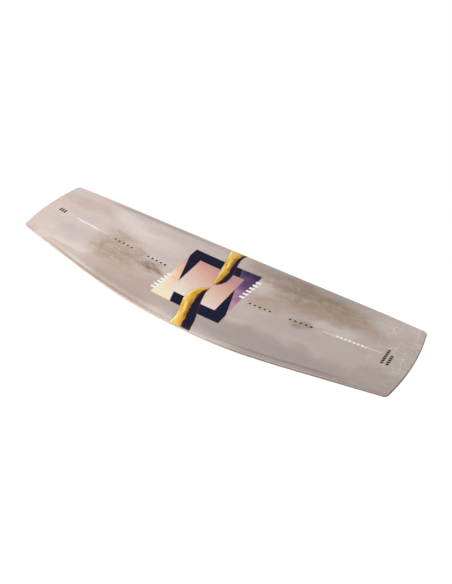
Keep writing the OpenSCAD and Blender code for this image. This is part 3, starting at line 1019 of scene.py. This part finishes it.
def deck_sky(g, wx, wy, billow):
    """Sand-coloured ground, paler towards the tail, partly print and partly painted light that falls off
    towards the nose, with clouds that drift along wx and wy.
    """
    x = g.x
    # The ground's fade along the board is part print and part painted light: lighter at the tail, in painted
    # shade towards the nose
    tone = g.ramp(
        (x + BOARD_L / 2) / BOARD_L,
        (0.0, "#d4c2b9"),
        (0.25, "#d1c2ba"),
        (0.5, "#c2b4ac"),
        (0.75, "#b5a79f"),
        (1.0, "#b9aca4"),
    )
    lilac_amount = g.noise(wx / 160, wy / 80, 9.0, 4, 0.55).step(0.46, 0.75) * 0.3
    tone = g.over(
        tone,
        (billow.step(0.42, 0.72) * x.step(500, -300).poly(0.16, 0.2), PALE),
        (lilac_amount, LILAC),
    )
    wisps = g.noise(wx / 60, wy / 26, 4.0, 7, 0.66, 0.6)
    curls = g.noise(wx / 22, wy / 12, 16.0, 6, 0.7, 0.5)
    density = (wisps * 0.55 + curls * 0.45).step(0.38, 0.58) * 0.65 + 0.35
    for cx, cy, rx, ry, amount, colour in CLOUDS:
        tone = g.mix(spot(wx, wy, cx, cy, rx, ry) * density * amount, tone, colour)
    for cx, cy, rx, ry, amount, colour in HAZE:
        tone = g.mix(spot(wx, wy, cx, cy, rx, ry) * amount, tone, colour)
    return tone


def deck_grain(g, tone, wx, wy, streak, grain):
    """Fine streaks along the board, a paper-like grain, and pale crackle lines at the nose."""
    x, y = g.x, g.y
    fleece = g.noise(wx / 24, wy / 11, 14.0, 6, 0.7, 0.8)
    tone = g.shaded(tone, (streak - 0.5) * 0.2 + (grain - 0.5) * 0.08 + (fleece - 0.5) * 0.16)
    vx, vy = x * 0.6 + wx * 0.4, y * 0.6 + wy * 0.4
    wide = g.cracks(vx / 62, vy / 52, 0.5).step(0.017, 0.002)
    fine = g.cracks(vx / 30, vy / 36, 3.5).step(0.022, 0.002) * 0.7
    patches = g.noise(x / 70, y / 60, 21.0, 2).step(0.34, 0.5)
    place = x.step(560, 650) * patches * y.step(-150, 20).poly(0.3, 0.7)
    return g.mix(wide.max(fine) * place * 0.6, tone, "#e8ded6")


def deck_rail_light(g, tone):
    """Painted shade and painted highlights along the rails and tips, in place of the light and shade on the
    glossy bevels; inset is the distance in from the rail's edge.
    """
    x, y = g.x, g.y
    far_x = abs(x)
    arc_x = far_x.min(RAIL_HALF_ARC)
    rail_y = (RAIL_R * RAIL_R - arc_x * arc_x).root() + (BOARD_W / 2 - RAIL_R)
    rail_y = rail_y - (far_x - RAIL_HALF_ARC).max(0.0) * math.tan(RAIL_ANG)
    inset = rail_y - abs(y)
    tip_x = far_x - TIP_CENTRE.x
    tip_edge = (TIP_R - (tip_x * tip_x + y * y).root()).step(3.2, 1.4)
    edge = inset.step(8.5, 3.5)
    crease = inset.step(7.0, 13.0) * inset.step(22.0, 15.0)
    wide_crease = inset.step(4.0, 11.0) * inset.step(30.0, 13.0)
    to_tail, to_nose = x.step(140, -260), x.step(60, 330)
    right, left = y.step(10, -10), y.step(-10, 10)
    # Painted shade and painted highlights: dark and pale bands by the rims and creases, darker on some
    # stretches of a rail and lighter on others
    return g.over(
        tone,
        (edge * right * to_tail * x.step(-690, -420) * 0.62, "#8a7261"),
        (crease * right * to_tail * 0.32, "#e2d4cc"),
        (crease * right * to_nose * x.step(640, 480) * 0.6, "#7e716e"),
        (edge * right * x.step(120, 300) * 0.6, "#8e8179"),
        (inset.step(60.0, 10.0) * right * x.step(-420, -330) * x.step(-60, -160) * 0.45, "#968277"),
        (inset.step(70.0, 30.0) * left * x.step(40, 90) * x.step(560, 380) * 0.36, "#887768"),
        (wide_crease * left * to_tail * x.step(-640, -470) * 0.5, "#9c8b82"),
        # A dark line of painted shade at the nose's edge, and a pale line of painted light at the tail's
        (tip_edge * x.step(600, 700) * 0.75, "#685446"),
        (tip_edge * x.step(-600, -700) * 0.5, "#e2d4c6"),
    )


def deck_picture(g, tone):
    """Square picture: an evening sky behind a navy frame that two slanted cuts leave open."""
    x, y = g.x, g.y
    sky_drift = (g.noise(x / 60, y / 45, 6.0, 4, 0.6) - 0.5) * 120
    sky = g.ramp(
        (x * 0.42 + y * 0.66 + sky_drift) / 330 + 0.5,
        (0.0, "#d8e4ce"),
        (0.14, "#ebe1c2"),
        (0.3, "#f1cdb2"),
        (0.42, "#e2aa98"),
        (0.56, "#be90a0"),
        (0.74, "#7a587e"),
        (0.9, "#32224a"),
    )
    warm_drift = (g.noise(x / 50, y / 40, 8.0, 4, 0.6) - 0.5) * 50
    warm = g.ramp(
        (x * 0.3 + y * 0.9 + warm_drift) / 200 + 0.5,
        (0.1, "#e6d8c9"),
        (0.34, "#dfc4b8"),
        (0.66, "#d8a795"),
        (0.88, "#c08e8c"),
    )
    puffs = g.noise(x / 26, y / 18, 11.0, 5, 0.6, 0.5).step(0.56, 0.72)
    warm = g.mix(puffs * 0.4, warm, "#c4a0b2")
    navy = g.mix(g.noise(x / 30, y / 30, 2.0, 3).step(0.3, 0.8) * 0.5, "#090e2a", "#111636")
    left_cut = (x - PICTURE[0]) * CUT_X + (y - WINDOW[3]) * CUT_Y
    right_cut = (x - PICTURE[1]) * CUT_X + (y - WINDOW[2]) * CUT_Y
    picture = in_box(x, y, *PICTURE)
    framed = picture * left_cut.step(-0.4, 0.4) * right_cut.step(0.4, -0.4)
    return g.over(tone, (picture, sky), (framed, navy), (in_box(x, y, *WINDOW), warm))


def deck_strokes(g, tone):
    """Two broad strokes in gold with a navy shade, from the rails to the middle, ending in bristle marks."""
    x, y = g.x, g.y
    wobble = (g.noise(x / 30, y / 18, 3.5, 4, 0.6) - 0.5) * 9
    ragged = (g.noise(x / 3.2, y / 80, 5.0, 3, 0.7) - 0.5) * 0.5
    # Each stroke: the distance along it, then polynomials for its left edge, its gold's limit, its right edge
    strokes = (
        ((205 - y) / 190, (-37, 70, -18), (24, -60, 200, -140), (37, -90, 330, -245)),
        ((205 + y) / 200, (0, 62, -380, 336), (45, -23, -134, 134), (80, -15, -165, 122)),
    )
    for t, left_edge, gold_edge, right_edge in strokes:
        in_length = t.step(-0.02, 0.02) * (t + ragged * t).step(1.0, 0.96)
        start = t.poly(*left_edge) + wobble
        limit = t.poly(*gold_edge) + wobble * 1.6
        end = t.poly(*right_edge) + wobble * 0.5
        across = (x - start) / (limit - start).max(4.0)
        hairs = g.noise(across * 4.5, t * 3.2, 4.5, 6, 0.66, 0.7)
        gold = g.ramp(
            across * 0.26 + hairs * 0.78 - 0.03,
            (0.24, "#faeebe"),
            (0.38, "#f0d684"),
            (0.47, "#e2b246"),
            (0.56, "#ce9224"),
            (0.66, "#8e5c22"),
            (0.76, "#462c1e"),
        )
        tone = g.over(
            tone,
            (within(x, start - 0.6, end + 0.8, 0.5) * in_length, MAROON),
            (within(x, start - 0.6, end - 2.0, 0.5) * in_length, INK),
            (within(x, start + 0.4, limit, 1.0) * in_length, gold),
        )
    return tone


def deck_marks(g, tone):
    """Plain white bars beside the picture, and plain marks along the centreline."""
    x, y = g.x, g.y
    far = abs(x)
    for cx, cy, half_w, half_h, pitch in BARS:
        slanted = x - (y - cy) * 0.12
        bars = in_box(slanted, y, cx - half_w, cx + half_w, cy - half_h, cy + half_h)
        tone = g.mix(bars * stripes(y - cy + half_h, pitch, 0.5), tone, WHITE)
    line = within(y, -0.9, 0.9, 0.3) * within(far, 446, 640)
    ticks = within(y, -4.2, 4.2, 0.3) * within(far, 492, 592) * stripes(far, 14, 0.62)
    marks = in_box(x, y, -682, -652, -8, 9) * stripes(x + 682, 11, 0.64)
    for x_lo, x_hi, y_hi in ((650, 659, 24), (667, 676, 4)):
        marks = marks.max(in_box(x, y, x_lo, x_hi, -38, y_hi) * stripes(y + 38, 9, 0.78))
    return g.over(tone, (line.max(ticks) * 0.85, WHITE), (marks * 0.95, DARK))


def deck_print():
    """The print under its gloss, which has a slow waviness, a little orange peel and faint use marks."""
    g = Graph("deck_print")
    x, y = g.x, g.y
    # Slow drift of the pattern, so that clouds get wispy edges
    wx = x + (g.noise(x / 130, y / 90, 1.5, 5, 0.62) - 0.5) * 150
    wy = y + (g.noise(x / 130, y / 90, 7.5, 5, 0.62) - 0.5) * 90
    billow = g.noise(wx / 110, wy / 60, 2.0, 6, 0.6, 0.4)
    streak = g.noise(x / 260, y / 3.2, 3.0, 4, 0.6)
    grain = g.noise(x / 1.6, y / 1.1, 0.0, 2, 0.6)
    tone = deck_sky(g, wx, wy, billow)
    tone = deck_grain(g, tone, wx, wy, streak, grain)
    # One of these painters lays painted shade and painted highlights along the rails into the print
    for paint in (deck_rail_light, deck_picture, deck_strokes, deck_marks):
        tone = paint(g, tone)
    wave = g.noise(x / 55, y / 40, 0.0, 2, 0.5) * 0.06
    peel = g.noise(x / 2.6, y / 2.6, 0.0, 2, 0.5) * 0.006
    rub = g.noise(x / 90, y / 0.7, 12.0, 3, 0.7).step(0.62, 0.8)
    g.finish(
        colour=tone,
        rough=0.42 + rub * 0.1,
        normal=g.bump(grain * 0.015 + streak * 0.02, 0.6),
        specular=0.25,
        coat=0.36,
        coat_rough=0.17 + rub * 0.16 + billow * 0.05,
        coat_normal=g.bump(wave + peel, 0.8),
    )


# ---- The other materials ----


def grain_wood(name, light, dark, ring_mm):
    """Straight-grained wood along the board, with pores."""
    g = Graph(name)
    x, y, z = g.x, g.y, g.z
    warp = (g.noise(x / 300, y / 40, z / 40, 3) - 0.5) * 14
    rings = (((y + warp) / ring_mm).frac() - 0.5) * 2
    lines = abs(rings).step(0.1, 1.0)
    fibre = g.noise(x / 60, y / 0.8, z / 0.8, 4, 0.6)
    pores = g.noise(x / 9, y / 0.35, z / 0.35, 2, 0.5).step(0.66, 0.74)
    height = fibre * 0.1 - pores * 0.12 + lines * 0.04
    colour = g.over(light, (lines * 0.55 + fibre * 0.35, dark), (pores * 0.5, "#462d1c"))
    g.finish(colour=colour, rough=0.55 + fibre * 0.2, normal=g.bump(height, 0.7))


def glass_laminate():
    """Resin-wetted glass cloth: a fine crossed weave, with the edge in thin layers."""
    g = Graph("glass_laminate")
    x, y, z = g.x, g.y, g.z
    u, v = (x + y) / 1.8, (x - y) / 1.8
    weave = abs(u.frac() - 0.5) + abs(v.frac() - 0.5)
    plies = abs((z / 0.2).frac() - 0.5)
    mottle = g.noise(x / 20, y / 20, z, 4)
    colour = g.over(
        "#baa68e",
        (weave * 0.5 + mottle * 0.3, "#cebea6"),
        (plies * 0.3, "#a28a72"),
        # Painted shade: the laminate's edge darker towards the nose
        (x.step(40, 320) * 0.6, "#786658"),
    )
    g.finish(colour=colour, rough=0.34 + mottle * 0.1, normal=g.bump(weave * 0.05, 0.5), coat=0.2)


def base_plastic():
    """Sintered base sheet: satin, finely ground lengthways, with plain darker bands."""
    g = Graph("base_plastic")
    x, y = g.x, g.y
    scratches = g.noise(x / 140, y / 0.45, 0.0, 5, 0.7)
    long_marks = g.noise(x / 320, y / 2.2, 3.0, 2, 0.5).step(0.66, 0.72)
    cloud = g.noise(x / 160, y / 90, 8.0, 4, 0.55)
    far = abs(x) + (g.noise(x / 90, y / 60, 5.0, 4, 0.6) - 0.5) * 30
    bands = within(far, 470, 505, 1.0).max(within(far, 520, 530, 1.0))
    colour = g.over(
        "#d6c8ba",
        (cloud.step(0.35, 0.7) * 0.5, "#c4b4a8"),
        (bands * 0.7, "#685c5c"),
        (far.step(120, 60) * 0.35, "#968680"),
    )
    colour = g.mix(long_marks * 0.2, g.shaded(colour, (scratches - 0.5) * 0.16), "#e8ded2")
    rough = 0.3 + scratches * 0.18 + long_marks * 0.12
    g.finish(colour=colour, rough=rough, normal=g.bump(scratches * 0.03 - long_marks * 0.02, 0.7))


def sidewall_plastic():
    """Cream sidewall plastic, in painted shade towards the nose and darker still at the nose's end, with the
    marks of its sanding along the rail.
    """
    g = Graph("sidewall_plastic")
    x, y, z = g.x, g.y, g.z
    marks = g.noise(x / 40, y / 6, z / 0.12, 4, 0.65)
    specks = g.noise(x / 3, y / 3, z / 3, 3, 0.6)
    colour = g.over(
        "#ccbcab",
        (specks.step(0.4, 0.75) * 0.35, "#baa896"),
        # Painted shade: darker towards the nose, and darkest at the nose's end
        (x.step(40, 320) * 0.9, "#766559"),
        (x.step(700, 728) * 0.7, "#544034"),
    )
    colour = g.shaded(colour, (marks - 0.5) * 0.1)
    g.finish(colour=colour, rough=0.38 + marks * 0.2, normal=g.bump(marks * 0.03, 0.7))


def block_plastic():
    """Dense sawn plastic with flecks."""
    g = Graph("block_plastic")
    x, y, z = g.x, g.y, g.z
    fleck = g.noise(x / 2.5, y / 2.5, z / 2.5, 4, 0.6)
    sawn = g.noise(x / 0.6, y / 30, z / 30, 3, 0.6)
    colour = g.mix(fleck, "#463c37", "#685a50")
    g.finish(colour=colour, rough=0.6 + fleck * 0.15, normal=g.bump(sawn * 0.05 + fleck * 0.03, 0.8))


def fin_plastic():
    """Moulded fin: dark and finely textured, with paler scuffs along it."""
    g = Graph("fin_plastic")
    x, y, z = g.x, g.y, g.z
    spark = g.noise(x / 0.5, y / 0.5, z / 0.5, 3, 0.6)
    sweep = g.noise(x / 18, y / 12, z / 12, 3, 0.5)
    scuffs = g.noise(x / 12, y / 0.5, z / 0.9, 3, 0.6).step(0.66, 0.76)
    colour = g.over("#1e1d1f", (sweep, "#2c2a2c"), (scuffs * 0.25, "#5c5a5a"))
    g.finish(colour=colour, rough=0.34 + sweep * 0.14 + scuffs * 0.2, normal=g.bump(spark * 0.03, 0.7))


def turned_metal(name, light, dark, rough):
    """Metal with fine turning marks and a little tarnish, with painted shade where it lies under the deck's
    surface.
    """
    g = Graph(name)
    x, y, z = g.x, g.y, g.z
    rings = g.noise(x / 8, y / 8, z / 0.08, 3, 0.6)
    tarnish = g.noise(x / 4, y / 4, z / 4, 4, 0.6)
    far = abs(x)
    arc_x, beyond = far.min(DECK_HALF_ARC), (far - DECK_HALF_ARC).max(0.0)
    depth = arc_x * arc_x / (2 * DECK_R) + beyond * math.tan(DECK_ANG) + MID_T - z
    # Painted shade in the holes: dark where the metal lies a little below the deck's surface
    bore_shade = depth.step(0.5, 1.6) * depth.step(12.0, 10.0) * abs(y).step(40.0, 20.0)
    colour = g.over(light, (tarnish.step(0.4, 0.75), dark), (bore_shade * 0.93, "#221c1a"))
    g.finish(colour=colour, metal=1.0, rough=rough + rings * 0.12, normal=g.bump(rings * 0.01, 0.6))


def make_materials():
    """One material for each slot of the record, under the slot's name."""
    for make in (deck_print, glass_laminate, base_plastic, sidewall_plastic, block_plastic, fin_plastic):
        make()
    grain_wood("core_wood", "#e4d0a8", "#c4a676", 9.0)
    grain_wood("stringer_wood", "#b08052", "#7e5230", 4.0)
    turned_metal("insert_metal", "#a89c92", "#80746a", 0.34)
    turned_metal("screw_steel", "#c6c6c8", "#969492", 0.24)


def dress_all():
    """Gives every piece, and every CAD node that no piece replaces, the material of its node's slot."""
    for row in frame["record"]["subparts"]:
        node, slot = row["node"], row["material_slot"]
        obj = PIECES[node] if node in PIECES else frame["nodes"][node]
        obj.data.materials.clear()
        obj.data.materials.append(MATERIALS[slot])


# ---- Studio: a pale floor, a bright room and two softboxes; metres ----

FLOOR_SIZE, FLOOR_GAP = 30, 0.0002


def floor_paint():
    """White with a trace of shading for the camera; clear from below, and to every other light ray."""
    g = Graph("floor_paint")
    g.finish(colour="#f4f4f4", rough=0.9, specular=0.0)
    rays = add_node(g.tree, "LightPath")
    place = add_node(g.tree, "NewGeometry")
    glow = add_node(g.tree, "Emission", None, 1.05)
    clear = add_node(g.tree, "BsdfTransparent")
    paint = add_node(g.tree, "MixShader", 0.06, glow.outputs[0], g.bsdf.outputs[0])
    seen = add_node(g.tree, "MixShader", rays.outputs["Is Camera Ray"], clear.outputs[0], paint.outputs[0])
    sided = add_node(g.tree, "MixShader", place.outputs["Backfacing"], seen.outputs[0], clear.outputs[0])
    g.tree.links.new(sided.outputs[0], g.out.inputs[0])


def add_floor():
    bpy.ops.mesh.primitive_plane_add(size=FLOOR_SIZE, location=(0, 0, cad_bounds[0].z - FLOOR_GAP))
    floor = bpy.context.object
    floor.name = "floor"
    floor_paint()
    floor.data.materials.append(MATERIALS["floor_paint"])


def add_room():
    """White to the camera; for the gloss to mirror, bright round the horizon with a dim ceiling."""
    world = bpy.data.worlds.new("studio")
    bpy.context.scene.world = world
    world.use_nodes = True
    tree = world.node_tree
    tree.nodes.clear()
    coords = add_node(tree, "TexCoord")
    split = add_node(tree, "SeparateXYZ", coords.outputs["Generated"])
    tones = add_ramp(tree, split.outputs[2], [(0.3, (1.0, 1.0, 1.0, 1)), (0.52, (0.1, 0.1, 0.105, 1))])
    room = add_node(tree, "Background", tones, 0.9)
    white = add_node(tree, "Background", (1, 1, 1, 1), 1.0)
    rays = add_node(tree, "LightPath")
    pick = add_node(tree, "MixShader", rays.outputs["Is Camera Ray"], room.outputs[0], white.outputs[0])
    add_node(tree, "OutputWorld", pick.outputs[0])


def softbox(name, place, aim, side, power):
    light = bpy.data.lights.new(name, "AREA")
    light.shape = "SQUARE"
    light.size = side
    light.energy = power
    obj = bpy.data.objects.new(name, light)
    obj.location = place
    obj.rotation_euler = (Vector(aim) - Vector(place)).to_track_quat("-Z", "Y").to_euler()
    link(obj)


# ---- Camera: the photograph's viewing angle ----

AZIMUTH, ELEVATION, ROLL = math.radians(35.85), math.radians(42.82), math.radians(-1.75)
CAMERA_PLACE = (1.0227, -1.3017, 1.5118)
SENSOR_WIDTH, LENS = 36, 40.38


def add_camera():
    level = math.cos(ELEVATION)
    back = Vector((math.sin(AZIMUTH) * level, -math.cos(AZIMUTH) * level, math.sin(ELEVATION)))
    flat_right = (-back).cross(Vector((0, 0, 1))).normalized()
    flat_up = flat_right.cross(-back)
    right = flat_right * math.cos(ROLL) + flat_up * math.sin(ROLL)
    up = flat_up * math.cos(ROLL) - flat_right * math.sin(ROLL)
    data = bpy.data.cameras.new("camera")
    data.sensor_width = SENSOR_WIDTH
    data.lens = LENS
    data.clip_end = 100
    camera = bpy.data.objects.new("camera", data)
    camera.matrix_world = Matrix.Translation(CAMERA_PLACE) @ Matrix((right, up, back)).transposed().to_4x4()
    link(camera)
    bpy.context.scene.camera = camera


make_layers()
for _name, _side in SIDES:
    sidewall(_name, _side)
for _name, _end in ENDS:
    tip_spacer(_name, _end)
make_fittings()
make_materials()
dress_all()
add_floor()
add_room()
softbox("key", (-0.9, -1.5, 2.5), (-0.1, 0, 0), 2.0, 89)
softbox("fill", (1.6, -1.8, 2.2), (0.2, 0, 0), 1.6, 18)
add_camera()
bpy.context.scene.view_settings.view_transform = "Standard"
